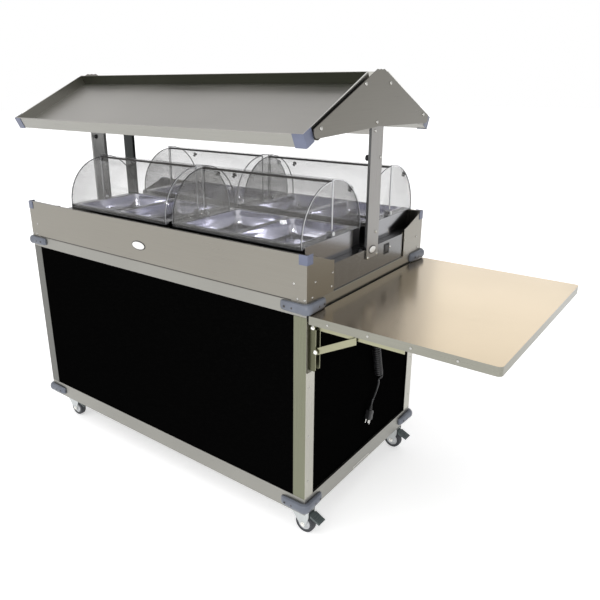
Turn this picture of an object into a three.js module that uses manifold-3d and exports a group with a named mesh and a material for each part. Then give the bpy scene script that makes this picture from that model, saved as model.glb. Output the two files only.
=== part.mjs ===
// Mobile buffet cart: a wheeled cabinet with four roll-top hot wells under a gabled canopy,
// a fold-down side shelf and a curly mains lead. Millimetres, +Z up, floor at z = 0.
// The customer side faces -Y and the folding shelf is on the +X end.
import * as THREE from 'three';
import { mergeVertices } from 'three/addons/utils/BufferGeometryUtils.js';
import Module from 'manifold-3d';

const wasm = await Module();
wasm.setup();

// ---------- driving dimensions ----------
const GAP = 0.3; // clearance between touching pieces

const cart = { halfX: 750, halfY: 404, post: 50, sheet: 2.5 };
const level = {
  frameBottom: 120, railLowTop: 185, railHighBottom: 864, railHighTop: 910,
  deckTop: 1003, wellTop: 1078, apronTop: 1065, pivot: 1087,
};
const bumper = { out: 18, arm: 100, height: 34, lowZ: 150, highZ: 892.6 };

const caster = { x: 684, y: 342, trail: 30, wheelR: 38, wheelWidth: 28, axleR: 5, forkTop: 107.7 };

const well = { halfX: 295, halfY: 166, centreY: 200, rightX: 420.5, leftX: -187.5 };
const pan = { sizeX: 262, sizeY: 322, offset: 132.5, depth: 62, sheet: 1.2, rim: 11, taper: 8 };
const lid = { skirt: 21, lift: 7, sheet: 3, innerR: 171.5, innerHalf: 285, outerR: 178, outerHalf: 289 };
const pivotPin = { r: 4, hole: 4.8, lugX: 274, lugThick: 8, headR: 7 };

const roof = { halfX: 742, ridgeY: 66, ridgeZ: 1589, eaveY: 419, eaveZ: 1421.5, rim: 43, sheet: 2 };
const gable = { x: 750.3, sheet: 3 };
const post = { width: 80, depth: 10, foot: 968, top: 1560 };
const sidePost = { y: 183, width: 60, top: 1465 };

const shelf = {
  inner: 758, length: 593, halfY: 404, corner: 14, top: 874, thick: 28, sheet: 2,
  hingeX: 765, hingeZ: 832, armY: 376, armLength: 306,
};
const strut = { footX: 776, footZ: 751, tipX: 917, tipZ: 824, width: 22, sheet: 3 };
const bracketDrop = 160; // height of the wall channel below the shelf hinge

const door = { hingeX: 697, hingeY: 409.5, depth: 16, knuckleR: 4.5 };
const lead = { diameter: 8, coilOuter: 34 };

// ---------- finishes ----------
const finish = (color, roughness, metalness, opacity = 1) =>
  new THREE.MeshStandardMaterial({ color, roughness, metalness, opacity, transparent: opacity < 1 });
const steel = () => finish(0xb4b0a6, 0.38, 0.9);
const brightSteel = () => finish(0xc9c9cc, 0.2, 0.95);
const laminate = () => finish(0x0b0b0c, 0.55, 0);
const clearSheet = () => finish(0xf2f5f6, 0.06, 0, 0.3);
const zinc = () => finish(0xb9bcc2, 0.35, 0.85);
const greyPlastic = () => finish(0x7d8290, 0.55, 0);
const blackPlastic = () => finish(0x161617, 0.5, 0);

// ---------- solids from three.js geometry ----------
function solid(geometry) {
  geometry.deleteAttribute('normal');
  geometry.deleteAttribute('uv');
  const merged = mergeVertices(geometry, 1e-3);
  return new wasm.Manifold(new wasm.Mesh({
    numProp: 3,
    vertProperties: new Float32Array(merged.attributes.position.array),
    triVerts: new Uint32Array(merged.index.array),
  }));
}

const join = (parts) => parts.reduce((whole, next) => whole.add(next));
const cut = (body, tools) => tools.reduce((rest, tool) => rest.subtract(tool), body);

// A box between two corners, given as [min, max] along each axis.
function block([x0, x1], [y0, y1], [z0, z1]) {
  const geometry = new THREE.BoxGeometry(x1 - x0, y1 - y0, z1 - z0);
  return solid(geometry.translate((x0 + x1) / 2, (y0 + y1) / 2, (z0 + z1) / 2));
}

// A round bar along an axis, centred on (a, b) in the other two coordinates.
function bar(axis, radius, from, to, a, b, sides = 16) {
  const geometry = new THREE.CylinderGeometry(radius, radius, to - from, sides);
  const middle = (from + to) / 2;
  if (axis === 'x') geometry.rotateZ(Math.PI / 2).translate(middle, a, b);
  if (axis === 'y') geometry.translate(a, middle, b);
  if (axis === 'z') geometry.rotateX(Math.PI / 2).translate(a, b, middle);
  return solid(geometry);
}

// An outline extruded along X (points are y,z), along Y (points are x,z) or along Z (points are x,y).
function plate(axis, points, from, to) {
  const shape = new THREE.Shape(points.map(([u, v]) => new THREE.Vector2(u, v)));
  const geometry = new THREE.ExtrudeGeometry(shape, { depth: to - from, bevelEnabled: false });
  const frame = new THREE.Matrix4();
  if (axis === 'x') frame.set(0, 0, 1, from, 1, 0, 0, 0, 0, 1, 0, 0, 0, 0, 0, 1);
  if (axis === 'y') frame.set(1, 0, 0, 0, 0, 0, -1, to, 0, 1, 0, 0, 0, 0, 0, 1);
  if (axis === 'z') frame.makeTranslation(0, 0, from);
  return solid(geometry.applyMatrix4(frame));
}

// Points of an arc in degrees, both ends included.
function arc(u, v, radius, start, end, steps) {
  return Array.from({ length: steps + 1 }, (_, i) => {
    const angle = THREE.MathUtils.degToRad(start + ((end - start) * i) / steps);
    return [u + radius * Math.cos(angle), v + radius * Math.sin(angle)];
  });
}

const mirrorX = (body) => body.mirror([1, 0, 0]);
const mirrorY = (body) => body.mirror([0, 1, 0]);

const model = new THREE.Group();
function piece(name, body, material) {
  const mesh = body.getMesh();
  const geometry = new THREE.BufferGeometry();
  geometry.setAttribute('position', new THREE.BufferAttribute(new Float32Array(mesh.vertProperties), 3));
  geometry.setIndex(new THREE.BufferAttribute(new Uint32Array(mesh.triVerts), 1));
  geometry.computeVertexNormals();
  const part = new THREE.Mesh(geometry, material);
  part.name = name;
  model.add(part);
}

// ---------- cabinet ----------
// Two weldments of folded sheet: a base frame with its floor pan and caster plates, and an upper
// frame whose four angle legs stand on it. Each carries its own ring of corner bumpers.
function cornerBumper(z) {
  const { halfX, halfY } = cart;
  const { out, arm, height } = bumper;
  const band = [z - height / 2, z + height / 2];
  const chamfer = 6; // how far each arm stops short of the other's outer face
  return join([
    block([halfX - arm, halfX + out - chamfer], [-halfY - out, -halfY + 0.5], band),
    block([halfX - 0.5, halfX + out], [-halfY - out + chamfer, -halfY + arm], band),
  ]);
}

function railRing(bottom, top) {
  const { halfX, halfY, sheet } = cart;
  return cut(block([-halfX, halfX], [-halfY, halfY], [bottom, top]), [
    block([-halfX + sheet, halfX - sheet], [-halfY + sheet, halfY - sheet], [bottom - 1, top + 1]),
  ]);
}

function onFourCorners(corner) {
  const right = corner.add(mirrorY(corner));
  return right.add(mirrorX(right));
}

const floorTop = level.frameBottom + cart.sheet;
const casterMount = join([
  block([cart.halfX - 130, cart.halfX], [-cart.halfY, -cart.halfY + 120], [level.frameBottom - 4, floorTop]),
  bar('z', 28, caster.forkTop + GAP, level.frameBottom - 3, caster.x, -caster.y, 20),
]);
piece('base_frame', join([
  block([-cart.halfX, cart.halfX], [-cart.halfY, cart.halfY], [level.frameBottom, floorTop]),
  railRing(level.frameBottom, level.railLowTop),
  onFourCorners(casterMount.add(cornerBumper(bumper.lowZ))),
]), steel());

const legZ = [level.railLowTop + GAP, level.railHighTop];
const leg = join([
  block([cart.halfX - cart.post, cart.halfX], [-cart.halfY, -cart.halfY + cart.sheet], legZ),
  block([cart.halfX - cart.sheet, cart.halfX], [-cart.halfY, -cart.halfY + cart.post], legZ),
]);
piece('upper_frame', join([
  railRing(level.railHighBottom, level.railHighTop),
  onFourCorners(leg.add(cornerBumper(bumper.highZ))),
]), steel());

const panelZ = [level.frameBottom + 24, level.railHighTop - 20];
const innerX = cart.halfX - cart.sheet - GAP;
const innerY = cart.halfY - cart.sheet - GAP;
const panelThick = 6;
const endPanelX = 738;
piece('front_panel', block([-innerX + 14, innerX - 14], [-innerY, -innerY + panelThick], panelZ), laminate());
const endPanel = block([endPanelX - panelThick, endPanelX], [-innerY + 8, innerY - 24], panelZ);
piece('right_end_panel', endPanel, laminate());
piece('left_end_panel', mirrorX(endPanel), laminate());

// Rear doors: folded pans that hang on a vertical pin at the corner posts.
function rearDoor() {
  const left = 1.5;
  const right = 695;
  const faceY = cart.halfY - 2;
  const [bottom, top] = [188, 861];
  const shell = cut(block([left, right], [faceY - door.depth, faceY], [bottom, top]), [
    block([left + 1.5, right - 1.5], [faceY - door.depth - 1, faceY - 1.5], [bottom + 1.5, top - 1.5]),
  ]);
  const knuckles = [bottom + 60, top - 110].flatMap((z) => [
    bar('z', door.knuckleR, z, z + 50, door.hingeX, door.hingeY, 10),
    block([right - 26, door.hingeX], [faceY - 0.5, faceY + 3.5], [z, z + 50]),
    block([door.hingeX - 3, door.hingeX], [faceY - 0.5, door.hingeY], [z, z + 50]),
  ]);
  const pull = join([
    block([40, 52], [faceY - 1, faceY + 17], [470, 482]),
    block([40, 52], [faceY - 1, faceY + 17], [588, 600]),
    block([40, 52], [faceY + 8, faceY + 17], [470, 600]),
  ]);
  return join([shell, pull, ...knuckles]);
}
const rightDoor = rearDoor();
piece('rear_door_right', rightDoor, steel());
piece('rear_door_left', mirrorX(rightDoor), steel());

// ---------- counter ----------
const wingY = 250; // inner edge of the apron wings on each end
const counterBottom = level.railHighTop + GAP;

// Long apron with a short wing turned round each end, its top edge sloping to the middle.
function frontApron() {
  const { halfX, halfY } = cart;
  const sheet = 2;
  const hem = 10;
  const wing = [
    [-halfY, counterBottom], [-wingY, counterBottom], [-wingY, level.deckTop + 15],
    [-wingY - 22, level.deckTop + 20], [-halfY + 26, level.apronTop - 4], [-halfY, level.apronTop],
  ];
  return join([
    block([-halfX, halfX], [-halfY, -halfY + sheet], [counterBottom, level.apronTop]),
    block([-halfX, halfX], [-halfY, -halfY + hem], [level.apronTop - sheet, level.apronTop]),
    plate('x', wing, halfX - sheet, halfX),
    plate('x', wing, -halfX, -halfX + sheet),
  ]);
}
const apron = frontApron();
piece('front_apron', apron, steel());
piece('rear_apron', mirrorY(apron), steel());

// Counter deck with a skirt folded down at each end, set back behind the posts' feet.
const skirtX = cart.halfX - 4.8;
const deckSheet = 2;
const switchAt = { y: 116, z: 973, halfY: 15, halfZ: 16 };
const deck = (() => {
  const plateZ = [level.deckTop - deckSheet, level.deckTop];
  const skirt = block([skirtX - deckSheet, skirtX], [-innerY + 1, innerY - 1], [counterBottom, level.deckTop]);
  const { y, z, halfY, halfZ } = switchAt;
  const windowCut = block([skirtX - 5, skirtX + 1], [y - halfY, y + halfY], [z - halfZ, z + halfZ]);
  return join([
    block([-skirtX, skirtX], [-innerY + 1, innerY - 1], plateZ),
    cut(skirt, [windowCut]), mirrorX(skirt),
  ]);
})();
piece('counter_deck', deck, steel());

// Rocker switch: a bar that tips about a pin along Y in the skirt's window.
{
  const { y, z, halfY, halfZ } = switchAt;
  const rocker = plate('y', [
    [skirtX - 7, z - halfZ + 3], [skirtX + 1.5, z - halfZ + 1.5], [skirtX + 3.2, z],
    [skirtX + 1.5, z + halfZ - 1.5], [skirtX - 7, z + halfZ - 3],
  ], y - halfY + 1.5, y + halfY - 1.5);
  piece('power_switch', rocker, blackPlastic());
}

// ---------- hot wells, pans and roll-top lids ----------
const wells = [
  ['front_left', well.leftX, -1], ['front_right', well.rightX, -1],
  ['rear_left', well.leftX, 1], ['rear_right', well.rightX, 1],
];

function wellBody() {
  const bottom = level.deckTop + GAP;
  const opening = { halfX: 124, halfY: 154 };
  const shell = block([-well.halfX, well.halfX], [-well.halfY, well.halfY], [bottom, level.wellTop]);
  const pockets = [-pan.offset, pan.offset].map((x) => block(
    [x - opening.halfX, x + opening.halfX], [-opening.halfY, opening.halfY], [bottom + 4, level.wellTop + 1]));
  const underside = [-pan.offset, pan.offset].map((x) => block(
    [x - opening.halfX + 1, x + opening.halfX - 1], [-opening.halfY + 1, opening.halfY - 1],
    [bottom - 1, bottom + 2]));
  const lug = join([
    block([pivotPin.lugX - pivotPin.lugThick / 2, pivotPin.lugX + pivotPin.lugThick / 2], [-9, 9],
      [level.wellTop - 1, level.pivot + 8]),
    bar('x', pivotPin.r, pivotPin.lugX, lid.outerHalf + 3, 0, level.pivot, 12),
    bar('x', pivotPin.headR, lid.outerHalf + 1, lid.outerHalf + 3, 0, level.pivot, 12),
  ]);
  return join([cut(shell, [...pockets, ...underside]), lug, mirrorX(lug)]);
}

// A tapered food pan with a flat rim that rests on the well's top.
function taperedBlock(halfX, halfY, inset, bottom, top) {
  const geometry = new THREE.BoxGeometry(2 * halfX, 2 * halfY, top - bottom);
  geometry.translate(0, 0, (top + bottom) / 2);
  const position = geometry.attributes.position;
  for (let i = 0; i < position.count; i += 1) {
    if (position.getZ(i) > (top + bottom) / 2) continue;
    position.setX(i, position.getX(i) * (1 - inset / halfX));
    position.setY(i, position.getY(i) * (1 - inset / halfY));
  }
  return solid(geometry);
}

function foodPan() {
  const rimBottom = level.wellTop + GAP;
  const rimTop = rimBottom + pan.sheet;
  const halfX = pan.sizeX / 2 - pan.rim;
  const halfY = pan.sizeY / 2 - pan.rim;
  const bottom = rimTop - pan.depth;
  const outer = join([
    block([-pan.sizeX / 2, pan.sizeX / 2], [-pan.sizeY / 2, pan.sizeY / 2], [rimBottom, rimTop]),
    taperedBlock(halfX, halfY, pan.taper, bottom, rimBottom + 0.5),
  ]);
  const hollow = taperedBlock(halfX - pan.sheet, halfY - pan.sheet, pan.taper, bottom + pan.sheet, rimTop + 1);
  return outer.subtract(hollow);
}

// One quarter-round lid shell about the pin at the origin, covering the -Y (side -1) or +Y (side 1) half.
// The rear shell is the outer one, so the front shell rolls back inside it.
function lidShell(radius, half, side) {
  const { skirt, lift, sheet } = lid;
  const steps = 10;
  const overlap = 4;
  const past = THREE.MathUtils.radToDeg(Math.asin(overlap / radius));
  const cover = [
    [radius, -skirt], ...arc(0, 0, radius, 0, 90 + past, steps),
    ...arc(0, 0, radius - sheet, 90 + past, 0, steps), [radius - sheet, -skirt],
  ];
  const end = [
    [radius, -skirt], ...arc(0, 0, radius, 0, 90 + past, steps),
    [-overlap, 10], [-7, 4], [-7, -3], [-overlap, -lift], [well.halfY + 2.2, -lift], [well.halfY + 2.2, -skirt],
  ];
  const endPlate = plate('x', end, half - sheet, half).subtract(
    bar('x', pivotPin.hole, half - sheet - 1, half + 1, 0, 0, 12));
  const shell = join([plate('x', cover, -half, half), endPlate, mirrorX(endPlate)]);
  return side < 0 ? mirrorY(shell) : shell;
}

for (const [name, x, row] of wells) {
  const y = row * well.centreY;
  piece(`${name}_well`, wellBody().translate([x, y, 0]), brightSteel());
  [['left', -pan.offset], ['right', pan.offset]].forEach(([side, offset]) => {
    piece(`${name}_pan_${side}`, foodPan().translate([x + offset, y, 0]), brightSteel());
  });
  const atPivot = [x, y, level.pivot];
  piece(`${name}_lid_front`, lidShell(lid.innerR, lid.innerHalf, -1).translate(atPivot), clearSheet());
  piece(`${name}_lid_rear`, lidShell(lid.outerR, lid.outerHalf, 1).translate(atPivot), clearSheet());
}

// ---------- canopy ----------
const slope = Math.atan2(roof.ridgeZ - roof.eaveZ, roof.eaveY - roof.ridgeY);
const slopeLength = Math.hypot(roof.ridgeZ - roof.eaveZ, roof.eaveY - roof.ridgeY);

// A shallow tray, rims up on all four sides, tilted so that its outer edge is the eave at +Y.
function roofTray() {
  const { halfX, rim, sheet } = roof;
  const tray = cut(block([-halfX, halfX], [0, slopeLength], [-rim, 0]), [
    block([-halfX + sheet, halfX - sheet], [sheet, slopeLength - sheet], [-rim + sheet, 1]),
  ]);
  return tray.rotate([-THREE.MathUtils.radToDeg(slope), 0, 0]).translate([0, roof.ridgeY, roof.ridgeZ]);
}
const rearTray = roofTray();
piece('roof_tray_rear', rearTray, steel());
piece('roof_tray_front', mirrorY(rearTray), steel());

// Gable plate with a flange under each tray.
function gablePlate() {
  const drop = 6; // plate edge below the tray's rim
  const dy = Math.sin(slope);
  const dz = Math.cos(slope);
  const short = 38; // how far each end stops before the eave
  const eave = [roof.eaveY - short, roof.eaveZ + short * Math.tan(slope) - drop];
  const ridge = [22, roof.ridgeZ + (roof.ridgeY - 22) * Math.tan(slope) - drop - 8];
  const half = [
    [0, 1418], [post.width / 2 + 6, 1415], [200, 1411],
    ...arc(eave[0] - 16, 1422, 16, 270, 360, 5), eave, ridge, [9, 1594], [0, 1596],
  ];
  const outline = [...half, ...half.slice(1, -1).reverse().map(([y, z]) => [-y, z])];
  const under = roof.rim + GAP;
  const flangeAt = (t) => [
    roof.ridgeY + t * Math.cos(slope) - under * dy, roof.ridgeZ - t * Math.sin(slope) - under * dz];
  const [a, b] = [flangeAt(10), flangeAt(slopeLength - short - 10)];
  const flange = plate('x', [a, b, [b[0] - 3 * dy, b[1] - 3 * dz], [a[0] - 3 * dy, a[1] - 3 * dz]],
    gable.x - 24, gable.x + 0.5);
  return join([plate('x', outline, gable.x, gable.x + gable.sheet), flange, mirrorY(flange)]);
}
const rightGable = gablePlate();
piece('gable_right', rightGable, steel());
piece('gable_left', mirrorX(rightGable), steel());

// Canopy post: a channel above the deck whose face runs on below it as a flat foot.
function channelPost(y, width, top) {
  const face = cart.halfX;
  const channelFoot = level.apronTop - 55;
  const channel = cut(block([face - post.depth, face], [y - width / 2, y + width / 2], [channelFoot, top]), [
    block(
      [face - post.depth - 1, face - 2], [y - width / 2 + 2, y + width / 2 - 2], [channelFoot - 1, top + 1],
    ),
  ]);
  return channel.add(block([face - 4, face], [y - width / 2, y + width / 2], [post.foot, channelFoot + 1]));
}
const endPost = channelPost(0, post.width, post.top);
piece('right_post', endPost, steel());
piece('left_post', mirrorX(endPost), steel());
piece('left_service_post', mirrorX(channelPost(sidePost.y, sidePost.width, sidePost.top)), greyPlastic());

const beam = { halfX: cart.halfX - post.depth - GAP, halfY: 25, z: [1392, 1450] };
piece('ridge_beam', cut(block([-beam.halfX, beam.halfX], [-beam.halfY, beam.halfY], beam.z), [
  block([-beam.halfX - 1, beam.halfX + 1], [-beam.halfY + 2, beam.halfY - 2], [beam.z[0] + 2, beam.z[1] + 1]),
]), steel());

// ---------- casters ----------
function casterFork() {
  const { wheelR: r, trail, axleR } = caster;
  const leg = [
    [-26, 100], [-22, 84], [trail - 9, r - 8], [trail + 8, r - 9], [trail + 24, r + 34], [trail + 26, 100],
  ];
  const legAt = (y) => plate('y', leg, y - 1.5, y + 1.5);
  return join([
    bar('z', 27, 96, caster.forkTop, 0, 0, 20),
    block([-24, trail + 24], [-21, 21], [94, 98]),
    legAt(-19.5), legAt(19.5),
    bar('y', axleR, -24, 24, trail, r, 12),
  ]);
}

function casterWheel() {
  const { wheelR: r, wheelWidth: w, axleR } = caster;
  const bore = axleR + GAP;
  const half = w / 2;
  const profile = [
    [bore, -half - 1], [12, -half - 1], [14, -6], [24, -6], [26, -half + 2], [r - 3, -half], [r, -half + 5],
    [r, half - 5], [r - 3, half], [26, half - 2], [24, 6], [14, 6], [12, half + 1], [bore, half + 1],
    [bore, -half - 1],
  ];
  const geometry = new THREE.LatheGeometry(profile.map(([a, b]) => new THREE.Vector2(a, b)), 20);
  return solid(geometry).translate([caster.trail, 0, r]);
}

const pedal = { x: 47, z: 86 };
function brakePedal() {
  const { x, z } = pedal;
  return join([
    bar('y', 4, -15.5, 15.5, x, z, 10),
    plate('y', [[x - 3, z - 3], [x + 14, z - 8], [x + 14, z + 2], [x, z + 4]], -13, 13),
    plate('y', [[x + 12, z - 8], [x + 52, z - 22], [x + 55, z - 17], [x + 14, z + 2]], -19, 19),
  ]);
}

for (const [end, sx] of [['left', -1], ['right', 1]]) {
  for (const [row, sy] of [['front', -1], ['rear', 1]]) {
    const at = [sx * caster.x, sy * caster.y, 0];
    piece(`caster_fork_${row}_${end}`, casterFork().translate(at), zinc());
    piece(`caster_wheel_${row}_${end}`, casterWheel().translate(at), finish(0x2a2b2e, 0.7, 0));
    piece(`brake_pedal_${row}_${end}`, brakePedal().translate(at), greyPlastic());
  }
}

// ---------- folding side shelf ----------
function sideShelf() {
  const { inner, length, halfY, corner, top, thick, sheet, hingeX, hingeZ, armY, armLength } = shelf;
  // The tray's outline with its two rounded outer corners, drawn in by an inset.
  const outline = (inset) => {
    const [x0, x1, y1, r] = [inner + inset, inner + length - inset, halfY - inset, corner - inset];
    return [[x0, -y1], ...arc(x1 - r, -y1 + r, r, -90, 0, 4), ...arc(x1 - r, y1 - r, r, 0, 90, 4), [x0, y1]];
  };
  const tray = plate('z', outline(0), top - thick, top)
    .subtract(plate('z', outline(sheet), top - thick - 1, top - sheet));
  const armZ = [hingeZ - 10, top - sheet + 0.5];
  const arm = (y) => block([hingeX - 4, hingeX + armLength], [y - 1.5, y + 1.5], armZ);
  const knuckle = (y) => bar('y', 4, y - 15, y + 12.5, hingeX, hingeZ, 10);
  const front = join([arm(-armY), knuckle(-armY)]);
  return join([tray, front, mirrorY(front)]);
}
piece('side_shelf', sideShelf(), brightSteel());

// Diagonal strut beside each arm, pinned to the wall bracket.
function shelfStrut() {
  const { footX, footZ, tipX, tipZ, width, sheet } = strut;
  const length = Math.hypot(tipX - footX, tipZ - footZ);
  const lean = (width / 2) * ((tipZ - footZ) / (tipX - footX)); // the tip is cut upright
  const flatBar = join([
    plate('y', [
      ...arc(0, 0, width / 2, 90, 270, 6), [length - lean, -width / 2], [length + lean, width / 2],
    ], 0, sheet),
    bar('y', 4, -6.5, sheet + 2, 0, 0, 10),
  ]);
  const tilt = THREE.MathUtils.radToDeg(Math.atan2(tipZ - footZ, tipX - footX));
  return flatBar.rotate([0, -tilt, 0]).translate([footX, -shelf.armY - 9, footZ]);
}
const frontStrut = shelfStrut();
piece('shelf_strut_front', frontStrut, zinc());
piece('shelf_strut_rear', mirrorY(frontStrut), zinc());

// Wall bracket: a backplate on the corner post with two ears that hold the hinge pin and the strut's pin.
function shelfBracket() {
  const { hingeX, hingeZ, armY } = shelf;
  const wall = cart.halfX + GAP;
  const bottom = hingeZ - bracketDrop;
  const edge = wall + 26; // free edge of each ear
  const earOutline = [
    [wall, hingeZ + 10], [hingeX + 7, hingeZ + 10], [hingeX + 7, hingeZ - 2], [edge, hingeZ - 6],
    [edge, strut.footZ + 10], [strut.footX + 8, strut.footZ + 5], [strut.footX + 8, strut.footZ - 5],
    [edge, strut.footZ - 10], [edge, bottom + 14], [edge - 4, bottom + 10], [wall, bottom + 10],
  ];
  const ear = (y) => plate('y', earOutline, y - 1.25, y + 1.25);
  const body = join([
    block([wall, wall + 3], [-cart.halfY + 4, -cart.halfY + 46], [bottom, hingeZ + 10]),
    ear(-armY - 13.5), ear(-armY + 11),
  ]);
  return cut(body, [
    bar('y', 4 + 0.6, -armY - 20, -armY + 20, hingeX, hingeZ, 12),
    bar('y', 4 + 0.6, -armY - 20, -armY + 20, strut.footX, strut.footZ, 12),
  ]);
}
const frontBracket = shelfBracket();
piece('shelf_bracket_front', frontBracket, zinc());
piece('shelf_bracket_rear', mirrorY(frontBracket), zinc());

// ---------- mains lead ----------
// A tube of round section swept along hand-placed points.
function sweep(points, radius, sides, steps) {
  const path = new THREE.CatmullRomCurve3(points.map(([x, y, z]) => new THREE.Vector3(x, y, z)));
  const section = new THREE.Shape(arc(0, 0, radius, 0, 360 - 360 / sides, sides - 1)
    .map(([u, v]) => new THREE.Vector2(u, v)));
  return solid(new THREE.ExtrudeGeometry(section, { steps, bevelEnabled: false, extrudePath: path }));
}

const outlet = { x: endPanelX + GAP, y: 40, z: 770 };
piece('cord_outlet', join([
  block([outlet.x, outlet.x + 34], [outlet.y - 20, outlet.y + 20], [outlet.z, outlet.z + 44]),
  solid(new THREE.CylinderGeometry(12, 7, 34, 12).rotateX(Math.PI / 2))
    .translate([outlet.x + 20.2, outlet.y, outlet.z - 16]),
]), blackPlastic());

// The wound stretch of the curly lead, as one body of its outer diameter.
const coilRoute = [
  [758.5, 40, 736.7], [758.5, 41, 690], [758.5, 46, 640], [758.5, 55, 590], [758.5, 67, 540],
  [758.5, 79, 495], [758.5, 88, 446],
];
piece('cord_coil', sweep(coilRoute, lead.coilOuter / 2, 12, 12), blackPlastic());

const tailRoute = [
  [758.5, 88.1, 445.6], [758.5, 90, 435], [758.5, 85, 423], [758.5, 70, 411], [758.5, 54, 398],
  [758.5, 42, 380], [758.5, 33, 358],
];
piece('cord_tail', sweep(tailRoute, lead.diameter / 2, 10, 10), blackPlastic());

{
  const plug = join([
    solid(new THREE.CylinderGeometry(8, 6, 16, 12).rotateX(Math.PI / 2)).translate([0, 0, -8.3]),
    block([-13, 13], [-15, 15], [-52, -15]),
    block([-9, -7.5], [-3, 3], [-70, -51]),
    block([7.5, 9], [-3, 3], [-70, -51]),
  ]);
  piece('cord_plug', plug.rotate([-22, 0, 0]).translate([758.5, 33, 358]), blackPlastic());
}

// The origin is under the middle of the cart with its shelf open.
model.position.x = -(shelf.inner + shelf.length - cart.halfX - bumper.out) / 2;
export default model;
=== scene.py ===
import math

import bmesh
import bpy
from mathutils import Matrix, Vector


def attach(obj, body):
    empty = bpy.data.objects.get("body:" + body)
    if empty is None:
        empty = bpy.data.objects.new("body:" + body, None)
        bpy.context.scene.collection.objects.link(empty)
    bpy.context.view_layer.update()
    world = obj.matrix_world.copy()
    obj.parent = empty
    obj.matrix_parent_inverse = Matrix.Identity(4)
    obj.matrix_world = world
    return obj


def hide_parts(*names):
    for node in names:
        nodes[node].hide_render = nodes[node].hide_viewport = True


# Looks of the mobile buffet cart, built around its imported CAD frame.
# Shapes are written in millimetres from the middle of the cart, floor at 0, and at() turns them
# into metres in the record's frame. +X is the folding shelf's end and -Y the customer side.

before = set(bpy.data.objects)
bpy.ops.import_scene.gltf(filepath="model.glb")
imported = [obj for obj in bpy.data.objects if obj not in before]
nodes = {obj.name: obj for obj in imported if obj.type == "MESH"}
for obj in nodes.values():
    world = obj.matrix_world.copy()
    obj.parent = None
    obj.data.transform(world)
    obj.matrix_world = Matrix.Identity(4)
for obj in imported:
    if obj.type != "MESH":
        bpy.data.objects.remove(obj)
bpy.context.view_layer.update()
scene = bpy.context.scene
CART_MIDDLE = -0.2915  # where the cart's middle lies along the record's x, in metres

HALF_X, HALF_Y, SHEET = 750, 404, 2.5  # the cabinet and its sheet
CASTER_X, CASTER_Y, CASTER_TRAIL, AXLE_Z = 684, 342, 30, 38
RIDGE_Y, RIDGE_Z, EAVE_Y, EAVE_Z = 66, 1589, 419, 1421.5  # the top edges of a canopy tray
PIVOT_Z = 1087  # the lids' pivots
PAN_RIM_Z = 1079.5
SHELF_TOP_Z, SHELF_ARM_Y = 873, 376
SWITCH_Y, SWITCH_Z = 116, 973
LEAD_X = 758.5  # the plane that the mains lead hangs in


def at(x, y, z):
    return Vector((x / 1000 + CART_MIDDLE, y / 1000, z / 1000))


# ---------- camera ----------
def make_camera():
    data = bpy.data.cameras.new("camera")
    camera = bpy.data.objects.new("camera", data)
    scene.collection.objects.link(camera)
    azimuth, down, roll = math.radians(38.323), math.radians(18.965), -0.011
    forward = Vector((-math.sin(azimuth) * math.cos(down), math.cos(azimuth) * math.cos(down),
                      -math.sin(down)))
    level = Vector((math.cos(azimuth), math.sin(azimuth), 0))
    upward = level.cross(forward)
    right = level * math.cos(roll) + upward * math.sin(roll)
    up = -level * math.sin(roll) + upward * math.cos(roll)
    basis = Matrix((right, up, -forward)).transposed()
    camera.matrix_world = Matrix.Translation((1.4593, -1.8617, 1.5767)) @ basis.to_4x4()
    data.sensor_width, data.lens = 36, 36.69
    data.shift_x, data.shift_y = 0.0533, -0.0223
    scene.camera = camera


make_camera()


# ---------- materials ----------
class Shader:
    """A procedural material on the Principled shader, in the object's own coordinates."""

    def __init__(self, name, metal=0.0, specular=0.5):
        self.material = bpy.data.materials.new(name)
        self.material.use_nodes = True
        self.tree = self.material.node_tree
        self.bsdf = self.tree.nodes["Principled BSDF"]
        self.bsdf.inputs["Metallic"].default_value = metal
        self.bsdf.inputs["Specular IOR Level"].default_value = specular
        self.place = self.tree.nodes.new("ShaderNodeTexCoord").outputs["Object"]

    def noise(self, scale, stretch=(1, 1, 1), detail=2.0):
        mapping = self.tree.nodes.new("ShaderNodeMapping")
        mapping.inputs["Scale"].default_value = stretch
        texture = self.tree.nodes.new("ShaderNodeTexNoise")
        texture.inputs["Scale"].default_value = scale
        texture.inputs["Detail"].default_value = detail
        self.tree.links.new(self.place, mapping.inputs["Vector"])
        self.tree.links.new(mapping.outputs["Vector"], texture.inputs["Vector"])
        return texture.outputs["Fac"]

    def blend(self, a, b, share):
        mix = self.tree.nodes.new("ShaderNodeMix")
        mix.inputs["Factor"].default_value = share
        self.tree.links.new(a, mix.inputs["A"])
        self.tree.links.new(b, mix.inputs["B"])
        return mix.outputs["Result"]

    def span(self, value, low, high, start=0.3, end=0.7):
        node = self.tree.nodes.new("ShaderNodeMapRange")
        for key, number in zip(("From Min", "From Max", "To Min", "To Max"), (start, end, low, high)):
            node.inputs[key].default_value = number
        self.tree.links.new(value, node.inputs["Value"])
        return node.outputs["Result"]

    def colour(self, value, dark, light, start=0.3, end=0.7):
        ramp = self.tree.nodes.new("ShaderNodeValToRGB")
        ramp.color_ramp.elements[0].position, ramp.color_ramp.elements[0].color = start, (*dark, 1)
        ramp.color_ramp.elements[1].position, ramp.color_ramp.elements[1].color = end, (*light, 1)
        self.tree.links.new(value, ramp.inputs["Fac"])
        self.tree.links.new(ramp.outputs["Color"], self.bsdf.inputs["Base Color"])

    def roughness(self, value, low, high):
        self.tree.links.new(self.span(value, low, high), self.bsdf.inputs["Roughness"])

    def bump(self, value, strength, distance):
        node = self.tree.nodes.new("ShaderNodeBump")
        node.inputs["Strength"].default_value = strength
        node.inputs["Distance"].default_value = distance
        self.tree.links.new(value, node.inputs["Height"])
        self.tree.links.new(node.outputs["Normal"], self.bsdf.inputs["Normal"])


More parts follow.
